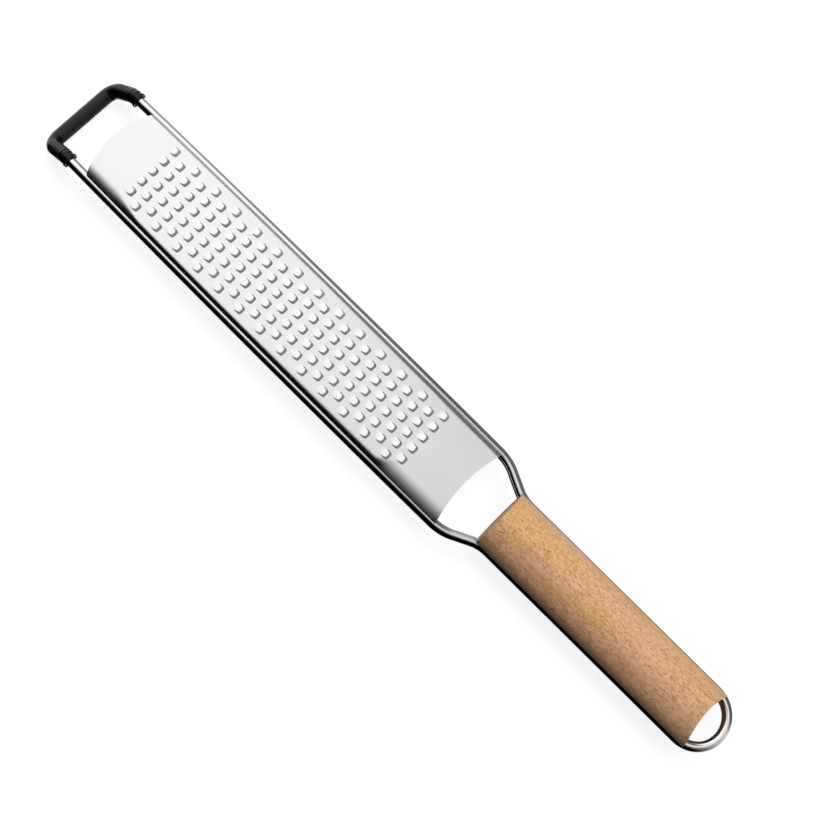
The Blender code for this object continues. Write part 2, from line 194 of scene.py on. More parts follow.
TEETH_HANDLE_END_Y = TEETH_FOOT_END_Y - ROWS * ROW_PITCH
TEETH_HALF_WIDTH = (COLUMNS + 0.5) * COLUMN_PITCH / 2
BLADE_CROWN_HEIGHT = RAIL_HEIGHT + BLADE_EDGE_RISE + EDGE_DROP + BLADE_CROWN_RISE

# Colours of the finishes
WHITE = (1, 1, 1, 1)
WIRE_GREY = (0.91, 0.91, 0.92, 1)
WIRE_BRIGHT = (0.97, 0.97, 0.97, 1)
BLADE_GREY = (0.90, 0.90, 0.905, 1)
BLADE_BRIGHT = (0.95, 0.95, 0.95, 1)
RUBBER_BLACK = (0.001, 0.001, 0.0011, 1)
RUBBER_SCUFFED = (0.003, 0.003, 0.0032, 1)
BEECH_YELLOW = (0.64, 0.375, 0.17, 1)
BEECH_PINK = (0.66, 0.385, 0.225, 1)
BEECH_PALE_FIBRE = (0.78, 0.55, 0.31, 1)
BEECH_BAND = (0.44, 0.20, 0.06, 1)
BEECH_DARK_FIBRE = (0.36, 0.16, 0.045, 1)
BEECH_PORE = (0.19, 0.072, 0.012, 1)
# The cut ends are darker partly as end grain and partly by painted shade; the loop's end holds the most
# painted shade
LOOP_END_SHADED_DARK = (0.13, 0.058, 0.024, 1)
LOOP_END_SHADED_PALE = (0.21, 0.10, 0.048, 1)
NECK_END_DARK = (0.36, 0.20, 0.105, 1)
NECK_END_PALE = (0.50, 0.29, 0.17, 1)
END_GRAIN_PORE = (0.08, 0.035, 0.012, 1)

# Pores of the beech, in cells that a wavy grain stretches and bends
PORE_CELLS = (2300, 700, 2300)
PORE_WAVES = (330, 90, 330)
PORE_WAVE_BEND = 1.6
PORE_LEAST_LUCK = 0.25
PORE_LUCK_SPREAD = 0.3
PORE_SINK = 0.8
CLOUD_ROUGHNESS = 0.05

# Camera, as the photograph was taken, with its turn in degrees
CAMERA_PLACE = (-0.1215, -0.0278, 0.5519)
CAMERA_TURN = (11.381, -7.413, -45.821)
CAMERA_LENS = 66.01
CAMERA_SENSOR = 36.0
CAMERA_NEAREST = 0.01

# Lamp, with its spread and turn in degrees
LAMP_STRENGTH = 2.4
LAMP_SPREAD = 40
LAMP_TURN = (0, 19, 0)

# Tent. A ramp goes from 0 to 1 between two directions along Y. The sides are counted along X
FOOT_RAMP = (0.05, 0.28)
FAR_FOOT_RAMP = (0.12, 0.3)
FOOT_END_RAMP = (0.3, 0.45)
NECK_RAMP = (0.03, 0.075)
LOOP_RAMP = (-0.05, -0.2)
LOOP_END_RAMP = (-0.3, -0.55)
ROOF_LEVEL = 0.79
ROOF_GAIN_PAST_NECK = 0.21
ROOF_GAIN_AT_FOOT = 0.08
ROOF_GAIN_AT_LOOP = 0.15
LOOP_END_SHADE = 0.35
LEFT_DARK_TO = 0.6
LEFT_DARK_PAST_NECK = 0.05
LEFT_DARK_AT_FOOT_END = 0.3
LEFT_BRIGHT_FROM = 0.4
LEFT_BRIGHT_PAST_NECK = 0.27
RIGHT_GREY_FROM = 0.29
RIGHT_GREY_FROM_AT_FOOT = 0.26
RIGHT_GREY_SPREAD = 0.28
RIGHT_GREY_SPREAD_AT_FOOT = 0.12
RIGHT_SHADE = 0.86
RIGHT_SHADE_AT_FOOT = 0.14

# Floor, and a shadow painted on it under the blade, where it glows less
FLOOR_SIZE = 6
FLOOR_COLOUR = 0.16
FLOOR_GLOW = 0.87
PAINTED_SHADOW_GLOW = 0.14
UNDER_BLADE_X = 0.0022
UNDER_BLADE_HALF_WIDTH = 0.0193
UNDER_BLADE_SIDE_FADE = 0.003
UNDER_BLADE_FOOT_FADE = 0.004
UNDER_BLADE_HANDLE_START = 0.003
UNDER_BLADE_HANDLE_FULL = 0.006


def deselect_all():
    """Leaves edit mode, if it is on, and selects nothing."""
    if bpy.context.mode != "OBJECT":
        bpy.ops.object.mode_set(mode="OBJECT")
    bpy.ops.object.select_all(action="DESELECT")


def pick(piece):
    """Makes a piece the only selected and the active one."""
    deselect_all()
    piece.select_set(True)
    bpy.context.view_layer.objects.active = piece


def begin(name):
    """Names the primitive that was just added and settles its place into its mesh."""
    piece = bpy.context.object
    piece.name = name
    piece.data.name = name
    bpy.ops.object.transform_apply(location=True, rotation=True, scale=True)
    return piece


def edit(piece):
    """Opens a piece in edit mode, to select its points."""
    pick(piece)
    bpy.ops.object.mode_set(mode="EDIT")
    bpy.ops.mesh.select_mode(type="VERT")


def leave_edit():
    """Goes back to object mode."""
    bpy.ops.object.mode_set(mode="OBJECT")


def select_where(piece, test, kind="verts"):
    """In edit mode, selects just the vertices, edges or faces that pass a test."""
    mesh = bmesh.from_edit_mesh(piece.data)
    for part in (*mesh.faces, *mesh.edges, *mesh.verts):
        part.select = False
    for part in getattr(mesh, kind):
        if test(part):
            part.select = True
    if kind == "verts":
        mesh.select_flush(True)
    bmesh.update_edit_mesh(piece.data)


def extrude(run):
    """Extrudes what is selected along a straight run."""
    if Vector(run).length > SHORTEST_RUN:
        bpy.ops.mesh.extrude_region_move(TRANSFORM_OT_translate={"value": run})


def apply_modifier(piece, kind, **settings):
    """Adds a modifier with its settings, and applies it."""
    pick(piece)
    modifier = piece.modifiers.new(kind.lower(), kind)
    for key, value in settings.items():
        setattr(modifier, key, value)
    bpy.ops.object.modifier_apply(modifier=modifier.name)


def mirror(piece):
    """Adds the left half to a piece that has only its right half."""
    apply_modifier(piece, "MIRROR", use_axis=(True, False, False), merge_threshold=SEAM)


def thicken(piece, thickness):
    """Gives a sheet a thickness that goes inwards from its faces."""
    apply_modifier(piece, "SOLIDIFY", thickness=thickness, offset=-1, use_even_offset=True)


def round_edges(piece, width, from_degrees):
    """Rounds the edges that bend by more than an angle."""
    apply_modifier(
        piece,
        "BEVEL",
        width=width,
        segments=EDGE_ROUND_STEPS,
        limit_method="ANGLE",
        angle_limit=math.radians(from_degrees),
    )


def cut(piece, cutter):
    """Takes a cutter's shape out of a piece, and removes the cutter."""
    apply_modifier(piece, "BOOLEAN", object=cutter, operation="DIFFERENCE", solver="EXACT")
    bpy.data.objects.remove(cutter)


def clean(piece):
    """Merges doubled points and turns every face outwards."""
    edit(piece)
    bpy.ops.mesh.select_all(action="SELECT")
    bpy.ops.mesh.remove_doubles(threshold=TOUCHING)
    bpy.ops.mesh.normals_make_consistent(inside=False)
    leave_edit()


def smooth(piece, from_degrees):
    """Shades a piece smooth, but for the edges that bend by more than an angle."""
    pick(piece)
    bpy.ops.object.shade_smooth_by_angle(angle=math.radians(from_degrees))


def copy_piece(piece, name):
    """Copies a piece with its own mesh."""
    pick(piece)
    bpy.ops.object.duplicate()
    copy = bpy.context.object
    copy.name = name
    return copy


def ease(value, low, high):
    """0 at low, 1 at high, and smooth between them."""
    share = min(1, max(0, (value - low) / (high - low)))
    return share * share * (3 - 2 * share)


def rail_x(y):
    """Half the distance between the side rails, which bow gently between the neck and the foot."""
    bow = RAIL_X_WIDEST - RAIL_X_AT_SLEEVE
    return RAIL_X_WIDEST - bow * ((y - WIDEST_Y) / (SLEEVE_END_Y - WIDEST_Y)) ** 2


def bow_corner(first_y, last_y):
    """Where the two ends of the bowed stretch of rail would meet, and the radius that joins them."""
    sag = (RAIL_X_WIDEST - RAIL_X_AT_SLEEVE) / (SLEEVE_END_Y - WIDEST_Y) ** 2
    x = RAIL_X_WIDEST - sag * (first_y - WIDEST_Y) * (last_y - WIDEST_Y)
    return Vector((x, (first_y + last_y) / 2, RAIL_HEIGHT)), 1 / (2 * sag)


def frame_corners():
    """Corners of the right half of the wire, from the foot bar to the loop, and the radius of each."""
    rail_end_y = SHOULDER_Y + 2 * SHOULDER_BEND_RADIUS * math.tan(NECK_ANGLE / 2)
    bow, bow_radius = bow_corner(SLEEVE_END_Y, rail_end_y)
    corners = [
        Vector((0, FOOT_BAR_Y, FOOT_BAR_HEIGHT)),
        Vector((FOOT_BAR_HALF_LENGTH, FOOT_BAR_Y, FOOT_BAR_HEIGHT)),
        Vector((rail_x(FOOT_SHOULDER_Y), FOOT_SHOULDER_Y, RAIL_HEIGHT)),
        bow,
        Vector((rail_x(SHOULDER_Y), SHOULDER_Y, RAIL_HEIGHT)),
        Vector((HANDLE_RAIL_X, NECK_CORNER_Y, RAIL_HEIGHT)),
        Vector((HANDLE_RAIL_X, LOOP_MIDDLE_Y, RAIL_HEIGHT)),
        Vector((0, LOOP_MIDDLE_Y, RAIL_HEIGHT)),
    ]
    radii = [
        FOOT_BEND_RADIUS,
        FOOT_BEND_RADIUS,
        bow_radius,
        SHOULDER_BEND_RADIUS,
        NECK_BEND_RADIUS,
        HANDLE_RAIL_X,
    ]
    return corners, radii


def start_ring(name, sides, radius, middle):
    """Adds an upright ring, all selected in edit mode, that a sweep carries along the wire's path."""
    deselect_all()
    bpy.ops.mesh.primitive_circle_add(
        vertices=sides, radius=radius, location=middle, rotation=(0, QUARTER_TURN, 0)
    )
    ring = begin(name)
    edit(ring)
    bpy.ops.mesh.select_all(action="SELECT")
    return ring


def sweep(corners, radii):
    """Carries the selected ring along straight runs, and by a spin round each corner between them."""
    here = corners[0]
    for before, corner, after, radius in zip(corners, corners[1:], corners[2:], radii):
        along = (corner - before).normalized()
        onward = (after - corner).normalized()
        turn = along.angle(onward)
        start = corner - along * radius * math.tan(turn / 2)
        extrude(start - here)
        axis = along.cross(onward).normalized()
        centre = start + axis.cross(along) * radius
        least_steps = BOW_STEPS if radius > LEAST_BOW_RADIUS else 1
        steps = max(least_steps, math.ceil(turn / BEND_STEP))
        bpy.ops.mesh.spin(steps=steps, angle=-turn, center=centre, axis=axis)
        here = corner + onward * radius * math.tan(turn / 2)
    extrude(corners[-1] - here)


def make_wire():
    """One half of the frame, swept from the middle of the foot bar to the tip of the loop, and mirrored."""
    corners, radii = frame_corners()
    wire = start_ring("bent_wire", WIRE_SIDES, WIRE_RADIUS, corners[0])
    sweep(corners, radii)
    leave_edit()
    mirror(wire)
    clean(wire)
    smooth(wire, TUBE_SHARP_FROM)
    return wire


def sweep_ribs(start, corner, after, radius):
    """Carries the sleeve's ring on, round one corner, in short steps that swell and shrink into ribs."""
    along = (corner - start).normalized()
    onward = (after - corner).normalized()
    turn = along.angle(onward)
    straight = (corner - start).length - radius * math.tan(turn / 2)
    length = straight + radius * turn
    axis = along.cross(onward).normalized()
    centre = start + along * straight + axis.cross(along) * radius
    steps = RIB_COUNT * RIB_STEPS
    straight_steps = round(steps * straight / length)
    bend_steps = steps - straight_steps
    size_before = 1
    for step in range(1, steps + 1):
        if step <= straight_steps:
            extrude(along * straight / straight_steps)
            here = start + along * straight * step / straight_steps
            run = straight * step / straight_steps
        else:
            bend_share = (step - straight_steps) / bend_steps
            bpy.ops.mesh.spin(steps=1, angle=-turn / bend_steps, center=centre, axis=axis)
            here = centre + Matrix.Rotation(turn * bend_share, 3, axis) @ (-axis.cross(along) * radius)
            run = straight + radius * turn * bend_share
        groove = 0.5 - 0.5 * math.cos(2 * math.pi * RIB_COUNT * run / length)
        size = 1 - RIB_DEPTH / SLEEVE_RADIUS * groove
        swell = size / size_before
        bpy.ops.transform.resize(value=(swell, swell, swell), center_override=here)
        size_before = size


def make_foot():
    """A rubber tube over the foot bar, with fine ribs round its two legs and a swollen collar at each end.

    Where it rests on the board, it is pressed flat.
    """
    corners, _ = frame_corners()
    bar_middle, bar_end, shoulder = corners[:3]
    foot = start_ring("rubber_foot", SLEEVE_SIDES, SLEEVE_RADIUS, bar_middle)
    leg = (shoulder - bar_end).normalized()
    leg_start = bar_end + leg * FOOT_BEND_RADIUS * math.tan((bar_end - bar_middle).angle(leg) / 2)
    sweep([bar_middle, bar_end, leg_start], [FOOT_BEND_RADIUS])
    sleeve_end = Vector((rail_x(SLEEVE_END_Y), SLEEVE_END_Y, RAIL_HEIGHT))
    sweep_ribs(leg_start, shoulder, sleeve_end, FOOT_BEND_RADIUS)
    collar = sleeve_end - shoulder
    collar_start = shoulder + collar.normalized() * FOOT_BEND_RADIUS * math.tan(leg.angle(collar) / 2)
    rings = [collar_start.lerp(sleeve_end, share) for share in COLLAR_RING_SHARES]
    for before, ring, swell in zip(rings, rings[1:], COLLAR_SWELL_SHARES):
        extrude(ring - before)
        bpy.ops.transform.resize(value=(swell, swell, swell), center_override=ring)
    leave_edit()
    mirror(foot)
    clean(foot)
    thicken(foot, SLEEVE_WALL)
    round_edges(foot, SLEEVE_EDGE_ROUND, SLEEVE_ROUND_FROM)
    edit(foot)
    select_where(foot, lambda vertex: vertex.co.z < 0)
    bpy.ops.transform.resize(value=(1, 1, 0), center_override=(0, 0, 0))
    leave_edit()
    smooth(foot, TUBE_SHARP_FROM)
    return foot


def slide_row(cell, y, target):
    """Moves one row of the cell's points along the blade to a new place."""
    select_where(cell, lambda vertex: abs(vertex.co.y - y) < TOUCHING)
    bpy.ops.transform.translate(value=(0, target - y, 0))


def slide_columns(cell, x, target):
    """Moves two mirrored columns of the cell's inner points across the blade to new places."""
    inside = ROW_PITCH / 2 - TOUCHING
    for side in (-1, 1):
        select_where(
            cell, lambda vertex: abs(vertex.co.x - side * x) < TOUCHING and abs(vertex.co.y) <= inside
        )
        bpy.ops.transform.translate(value=(side * (target - x), 0, 0))


def move_points(cell, x, y, move):
    """Moves the cell's points at a place, and their mirror images, which move the other way across."""
    for side in (-1, 1) if x else (1,):
        select_where(cell, lambda vertex: abs(vertex.co.x - side * x) + abs(vertex.co.y - y) < TOUCHING)
        bpy.ops.transform.translate(value=(side * move[0], move[1], move[2]))


def make_plain_cell():
    """One pitch of the sheet without a tooth, with its points in the rows that a tooth needs."""
    deselect_all()
    bpy.ops.mesh.primitive_grid_add(x_subdivisions=CELL_COLUMNS, y_subdivisions=CELL_ROWS, size=1)
    bpy.context.object.scale = (COLUMN_PITCH, ROW_PITCH, 1)
    cell = begin("plain_cell")
    edit(cell)
    even_rows = [ROW_PITCH * (i / CELL_ROWS - 0.5) for i in range(1, CELL_ROWS)]
    tooth_rows = (SLOT_CLOSED_Y, TONGUE_EDGE_Y, TONGUE_MIDDLE_Y, TONGUE_ROOT_Y)
    for y, target in zip(even_rows, tooth_rows):
        slide_row(cell, y, target)
    corner = Vector((COLUMN_PITCH / 2, ROW_PITCH / 2, 0)).length
    select_where(cell, lambda vertex: vertex.co.length > corner - TOUCHING)
    bpy.ops.transform.vert_crease(value=1)
    leave_edit()
    return cell


def in_slot(face):
    """Whether a face of the cell lies in the slot, which runs before the tongue and along its two sides."""
    centre = face.calc_center_median()
    mouth = SLOT_CLOSED_Y < centre.y < TONGUE_EDGE_Y and abs(centre.x) < SLOT_HALF_WIDTH
    arm = TONGUE_EDGE_Y < centre.y < TONGUE_ROOT_Y and TONGUE_HALF_EDGE < abs(centre.x) < SLOT_HALF_WIDTH
    return mouth or arm


def make_tooth_cell(plain):
    """One pitch of the sheet with its slot cut and its tongue raised towards the handle."""
    cell = copy_piece(plain, "tooth_cell")
    edit(cell)
    column = COLUMN_PITCH / CELL_COLUMNS
    for count, target in ((3, BESIDE_SLOT_X), (2, SLOT_HALF_WIDTH), (1, TONGUE_HALF_EDGE)):
        slide_columns(cell, count * column, target)
    bpy.ops.mesh.select_mode(type="FACE")
    select_where(cell, in_slot, "faces")
    bpy.ops.mesh.delete(type="FACE")
    bpy.ops.mesh.select_mode(type="VERT")
    move_points(cell, SLOT_HALF_WIDTH, SLOT_CLOSED_Y, (-SLOT_CORNER_IN, SLOT_CORNER_IN, 0))
    move_points(cell, 0, SLOT_CLOSED_Y, (0, -SLOT_CLOSED_BULGE, 0))
    for row_y, half_width, lift in (
        (TONGUE_EDGE_Y, TONGUE_HALF_EDGE, TONGUE_EDGE_LIFT),
        (TONGUE_MIDDLE_Y, TONGUE_HALF_MIDDLE, TONGUE_MIDDLE_LIFT),
        (TONGUE_ROOT_Y, TONGUE_HALF_ROOT, TONGUE_ROOT_LIFT),
    ):
        move_points(cell, 0, row_y, (0, 0, lift))
        move_points(cell, TONGUE_HALF_EDGE, row_y, (half_width - TONGUE_HALF_EDGE, 0, lift))
    leave_edit()
    return cell


def soften(cell):
    """Rounds a cell's shape, but for its four corners, and leaves its borders where they are."""
    apply_modifier(cell, "SUBSURF", levels=1, render_levels=1, boundary_smooth="ALL", uv_smooth="NONE")


def lay(source, x, y, turn=1):
    """Lays a copy of a cell, with its own mesh, at a place in the sheet. A turn of -1 mirrors it."""
    tile = source.copy()
    tile.data = source.data.copy()
    tile.location = (x, y, 0)
    tile.scale = (turn, 1, 1)
    bpy.context.scene.collection.objects.link(tile)
    return tile


def lay_rows(tooth, half_cell):
    """Lays the staggered rows of teeth, with half a plain cell at one end of each, and joins them."""
    tiles = []
    for row in range(ROWS):
        side = 1 if row % 2 == 0 else -1
        y = TEETH_FOOT_END_Y - (row + 0.5) * ROW_PITCH
        for column in range(COLUMNS):
            tiles.append(lay(tooth, (column - (COLUMNS - 1) / 2) * COLUMN_PITCH + side * STAGGER, y))
        tiles.append(lay(half_cell, -side * (TEETH_HALF_WIDTH - COLUMN_PITCH / 2), y, -side))
    deselect_all()
    for tile in tiles:
        tile.select_set(True)
    bpy.context.view_layer.objects.active = tiles[0]
    bpy.ops.object.join()
    return begin("toothed_blade")


def widen(sheet, axis, border, run, steps):
    """Extrudes one straight border of the flat sheet outwards in even steps."""
    select_where(
        sheet, lambda edge: all(abs(vertex.co[axis] - border) < SEAM for vertex in edge.verts), "edges"
    )
    move = [0, 0, 0]
    move[axis] = run / steps
    for _ in range(steps):
        extrude(move)


def blade_edge_x(y):
    """Half the width of the blade, whose edges lie on the rails."""
    return rail_x(y) - BLADE_EDGE_INSET


def edge_bend_width(x, y):
    """How wide the bend of the blade's edge is.

    The left one widens towards both ends. The right one is wider at the handle and narrower at the foot.
    """
    foot_from = TEETH_FOOT_END_Y - EDGE_BEND_FOOT_RUN
    handle_from = TEETH_HANDLE_END_Y + EDGE_BEND_HANDLE_RUN
    at_foot = ease(y, foot_from, foot_from + EDGE_BEND_FOOT_SPREAD)
    at_handle = ease(-y, -handle_from, EDGE_BEND_HANDLE_SPREAD - handle_from)
    if x > 0:
        wider = (EDGE_BEND_RIGHT_HANDLE_END - EDGE_BEND_BESIDE_TEETH) * at_handle
        narrower = (EDGE_BEND_BESIDE_TEETH - EDGE_BEND_RIGHT_FOOT_END) * ease(y, 0, EDGE_BEND_EVEN_Y)
        return EDGE_BEND_BESIDE_TEETH + wider - narrower
    towards_handle = ease(-y, -EDGE_BEND_EVEN_Y, -handle_from)
    handle_share = max(at_handle, EDGE_BEND_GROWTH_SHARE * towards_handle)
    wider_at_foot = (EDGE_BEND_LEFT_FOOT_END - EDGE_BEND_BESIDE_TEETH) * at_foot
    wider_at_handle = (EDGE_BEND_LEFT_HANDLE_END - EDGE_BEND_BESIDE_TEETH) * handle_share
    return EDGE_BEND_BESIDE_TEETH + wider_at_foot + wider_at_handle


def blade_height(x, y):
    """Height of the sheet's upper face: a low crown, and a round bend down to the rail at each edge."""
    half = blade_edge_x(y)
    width = edge_bend_width(x, y)
    radius = (width**2 + EDGE_DROP**2) / (2 * EDGE_DROP)
    into_bend = min(radius, max(0, abs(x) - (half - width)))
    fall = radius - math.sqrt(radius**2 - into_bend**2)
    return BLADE_CROWN_HEIGHT - BLADE_CROWN_RISE * (x / half) ** 2 - fall


def shape_sheet(sheet, margin):
    """Fits the flat sheet between its rails, rounds its ends, and gives it its crown and bent edges."""
    for vertex in sheet.data.vertices:
        x, y, lift = vertex.co
        half = blade_edge_x(y)
        if abs(x) < TEETH_HALF_WIDTH + TOUCHING:
            x += TEETH_OFF_CENTRE
        else:
            side = math.copysign(1, x)
            from_edge = max(0, 1 - (abs(x) - TEETH_HALF_WIDTH) / margin)
            teeth_x = side * TEETH_HALF_WIDTH + TEETH_OFF_CENTRE
            x = side * half - from_edge**MARGIN_CROWDING * (side * half - teeth_x)
        inward = 1 - (x / half) ** 2
        if y > TEETH_FOOT_END_Y:
            end = BLADE_FOOT_END_Y + BLADE_FOOT_END_BULGE * inward
            share = (y - TEETH_FOOT_END_Y) / (BLADE_FOOT_END_Y - TEETH_FOOT_END_Y)
            y = TEETH_FOOT_END_Y + share * (end - TEETH_FOOT_END_Y)
        if y < TEETH_HANDLE_END_Y:
            end = BLADE_HANDLE_END_Y + BLADE_HANDLE_END_HOLLOW * inward
            share = (TEETH_HANDLE_END_Y - y) / (TEETH_HANDLE_END_Y - BLADE_HANDLE_END_Y)
            y = TEETH_HANDLE_END_Y - share * (TEETH_HANDLE_END_Y - end)
        vertex.co = (x + BLADE_OFF_CENTRE, y, blade_height(x, y) + lift)


def make_blade():
    """The toothed sheet: copies of one cell, wider margins and ends, then its bends and its thickness."""
    plain = make_plain_cell()
    tooth = make_tooth_cell(plain)
    soften(plain)
    soften(tooth)
    half_cell = copy_piece(plain, "half_cell")
    edit(half_cell)
    select_where(half_cell, lambda vertex: vertex.co.x < -TOUCHING)
    bpy.ops.mesh.delete(type="VERT")
    leave_edit()
    sheet = lay_rows(tooth, half_cell)
    for spare in (plain, tooth, half_cell):
        bpy.data.objects.remove(spare)
    edit(sheet)
    bpy.ops.mesh.select_all(action="SELECT")
    bpy.ops.mesh.remove_doubles(threshold=SEAM)
    bpy.ops.mesh.select_mode(type="EDGE")
    margin = blade_edge_x(WIDEST_Y) - TEETH_HALF_WIDTH
    widen(sheet, ACROSS, -TEETH_HALF_WIDTH, -margin, MARGIN_STEPS)
    widen(sheet, ACROSS, TEETH_HALF_WIDTH, margin, MARGIN_STEPS)
    widen(sheet, ALONG, TEETH_FOOT_END_Y, BLADE_FOOT_END_Y - TEETH_FOOT_END_Y, FOOT_END_STEPS)
    widen(sheet, ALONG, TEETH_HANDLE_END_Y, BLADE_HANDLE_END_Y - TEETH_HANDLE_END_Y, HANDLE_END_STEPS)
    bpy.ops.mesh.select_all(action="SELECT")
    bpy.ops.mesh.normals_make_consistent(inside=False)
    leave_edit()
    if sheet.data.polygons[0].normal.z < 0:
        sheet.data.flip_normals()
    shape_sheet(sheet, margin)
    thicken(sheet, BLADE_THICKNESS)
    smooth(sheet, BLADE_SHARP_FROM)
    return sheet


def make_handle():
    """A turned rod, straight at the neck, hollowed at the loop, and grooved down each side for the wire."""
    deselect_all()
    length = NECK_END_Y - LOOP_END_Y
    middle_y = (NECK_END_Y + LOOP_END_Y) / 2
    bpy.ops.mesh.primitive_cylinder_add(
        vertices=HANDLE_SIDES,
        radius=HANDLE_RADIUS,
        depth=length,
        location=(0, middle_y, HANDLE_RADIUS),
        rotation=(QUARTER_TURN, 0, 0),
    )
    handle = begin("turned_handle")
    loop_arc = (HANDLE_RADIUS**2 + LOOP_END_HOLLOW**2) / (2 * LOOP_END_HOLLOW)
    deselect_all()
    bpy.ops.mesh.primitive_cylinder_add(
        vertices=LOOP_ARC_SIDES,
        radius=loop_arc,
        depth=LOOP_ARC_HEIGHT,
        location=(0, LOOP_END_Y + LOOP_END_HOLLOW - loop_arc, HANDLE_RADIUS),
    )
    cut(handle, begin("loop_arc"))
    for side in (-1, 1):
        deselect_all()
        bpy.ops.mesh.primitive_cylinder_add(
            vertices=GROOVE_SIDES,
            radius=GROOVE_RADIUS,
            depth=length + GROOVE_OVERRUN,
            location=(side * HANDLE_RAIL_X, middle_y, RAIL_HEIGHT),
            rotation=(QUARTER_TURN, 0, 0),
        )
        groove = begin("groove")
        edit(groove)
        outer = HANDLE_RAIL_X + TOUCHING
        select_where(groove, lambda vertex: vertex.co.x * side > outer)
        bpy.ops.transform.translate(value=(side * GROOVE_OPENING, 0, 0))
        leave_edit()
        cut(handle, groove)
    clean(handle)
    round_edges(handle, HANDLE_EDGE_ROUND, HANDLE_ROUND_FROM)
    smooth(handle, HANDLE_SHARP_FROM)
    return handle


class Field:
    """A value spread over a surface. Arithmetic on it adds the nodes that work it out."""

    def __init__(self, nodes, socket):
        self.nodes = nodes
        self.socket = socket

    def __add__(self, other):
        return self.nodes.calc("ADD", self, other)

    __radd__ = __add__

    def __sub__(self, other):
        return self.nodes.calc("SUBTRACT", self, other)

    def __rsub__(self, other):
        return self.nodes.calc("SUBTRACT", other, self)

    def __mul__(self, other):
        return self.nodes.calc("MULTIPLY", self, other)

    __rmul__ = __mul__

    def __truediv__(self, other):
        return self.nodes.calc("DIVIDE", self, other)


class Nodes:
    """The node tree of a material or of the world."""

    def __init__(self, tree):
        self.tree = tree
        tree.nodes.clear()

    def node(self, kind, settings=None, sockets=None, out=0):
        """Adds a node, sets it up, fills its sockets, and gives one of its outputs."""
        made = self.tree.nodes.new(kind)
        for key, value in (settings or {}).items():
            setattr(made, key, value)
        for key, value in (sockets or {}).items():
            if isinstance(value, Field):
                self.tree.links.new(value.socket, made.inputs[key])
            else:
                made.inputs[key].default_value = value
        return Field(self, made.outputs[out]) if made.outputs else made

    def calc(self, operation, *values):
        """Works out one step of arithmetic."""
        return self.node("ShaderNodeMath", {"operation": operation}, dict(enumerate(values)))

    def ease(self, value, low, high):
        """0 at low, 1 at high, and smooth between them."""
        if low > high:
            return 1 - self.ease(value, high, low)
        settings = {"interpolation_type": "SMOOTHSTEP"}
        sockets = {"Value": value, "From Min": low, "From Max": high}
        return self.node("ShaderNodeMapRange", settings, sockets)

    def mix(self, share, first, second):
        """Blends two colours. The Mix node tells its colour sockets apart by number only."""
        sockets = {0: share, 6: first, 7: second}
        return self.node("ShaderNodeMix", {"data_type": "RGBA"}, sockets, out=2)

    def paint(self, below, colour, mask, most):
        """Lays a colour over what is below it, where a mask is 1, and there by its greatest share."""
        return self.mix(most * mask, below, colour)

    def axes(self, letters, source="Object"):
        """One value for each axis named, from the surface's own coordinates in metres or another source."""
        coordinates = self.node("ShaderNodeTexCoord", out=source)
        split = self.node("ShaderNodeSeparateXYZ", None, {"Vector": coordinates}).socket.node
        return [Field(self, split.outputs[letter]) for letter in letters]

    def place(self, scale):
        """The surface's own coordinates, in metres, stretched by a scale along each axis."""
        coordinates = self.node("ShaderNodeTexCoord", out="Object")
        return self.node("ShaderNodeMapping", None, {"Vector": coordinates, "Scale": scale})

    def wavy(self, scale, wave_scale, bend):
        """Stretched coordinates that slow waves bend, by a length counted in the pattern's own units."""
        slow = {"Vector": self.place(wave_scale), "Scale": 1.0, "Detail": 2.0}
        waves = self.node("ShaderNodeTexNoise", None, slow, out="Color")
        shift = self.node("ShaderNodeVectorMath", {"operation": "SCALE"}, {0: waves, "Scale": bend})
        return self.node("ShaderNodeVectorMath", {"operation": "ADD"}, {0: self.place(scale), 1: shift})

    def noise(self, scale, detail=2.0, roughness=0.5, distortion=0.0):
        """Soft noise, with a scale in waves per metre along each axis."""
        sockets = {
            "Vector": self.place(scale),
            "Scale": 1.0,
            "Detail": detail,
            "Roughness": roughness,
            "Distortion": distortion,
        }
        return self.node("ShaderNodeTexNoise", None, sockets)

    def bump(self, height, distance):
        """A relief of a field's height, in metres for each unit of the field."""
        return self.node("ShaderNodeBump", None, {"Height": height, "Distance": distance, "Strength": 1.0})


def between(share, low, high):
    """Goes from low to high as a share goes from 0 to 1."""
    return low + (high - low) * share


def grey(level):
    """A grey of one level."""
    return (level, level, level, 1)


def new_material(name):
    """Gives a new material and its empty node tree."""
    material = bpy.data.materials.new(name)
    material.use_nodes = True
    return material, Nodes(material.node_tree)


def finish_material(nodes, sockets):
    """Adds the shader that all of a material's fields feed."""
    shader = nodes.node("ShaderNodeBsdfPrincipled", None, sockets)
    nodes.node("ShaderNodeOutputMaterial", None, {"Surface": shader})


def wire_steel():
    """Polished stainless wire: nearly a mirror, with faint waves left by drawing and bending."""
    material, nodes = new_material("polished_wire_steel")
    waves = nodes.noise(scale=(260, 45, 260))
    grime = nodes.noise(scale=(900, 120, 900), detail=3.0)
    finish_material(
        nodes,
        {
            "Base Color": nodes.mix(grime, WIRE_GREY, WIRE_BRIGHT),
            "Metallic": 1.0,
            "Roughness": between(grime, low=0.035, high=0.085),
            "Normal": nodes.bump(waves, distance=0.000012),
        },
    )
    return material


def blade_steel():
    """Satin stainless sheet with a fine grain along its length and faint clouds from etching."""
    material, nodes = new_material("satin_blade_steel")
    grain = nodes.noise(scale=(5200, 160, 5200), detail=3.0, roughness=0.6)
    clouds = nodes.noise(scale=(90, 60, 90), detail=3.0)
    finish_material(
        nodes,
        {
            "Base Color": nodes.mix(clouds, BLADE_GREY, BLADE_BRIGHT),
            "Metallic": 1.0,
            "Roughness": between(grain, low=0.20, high=0.28) + CLOUD_ROUGHNESS * clouds,
            "Normal": nodes.bump(grain, distance=0.0000005),
        },
    )
    return material


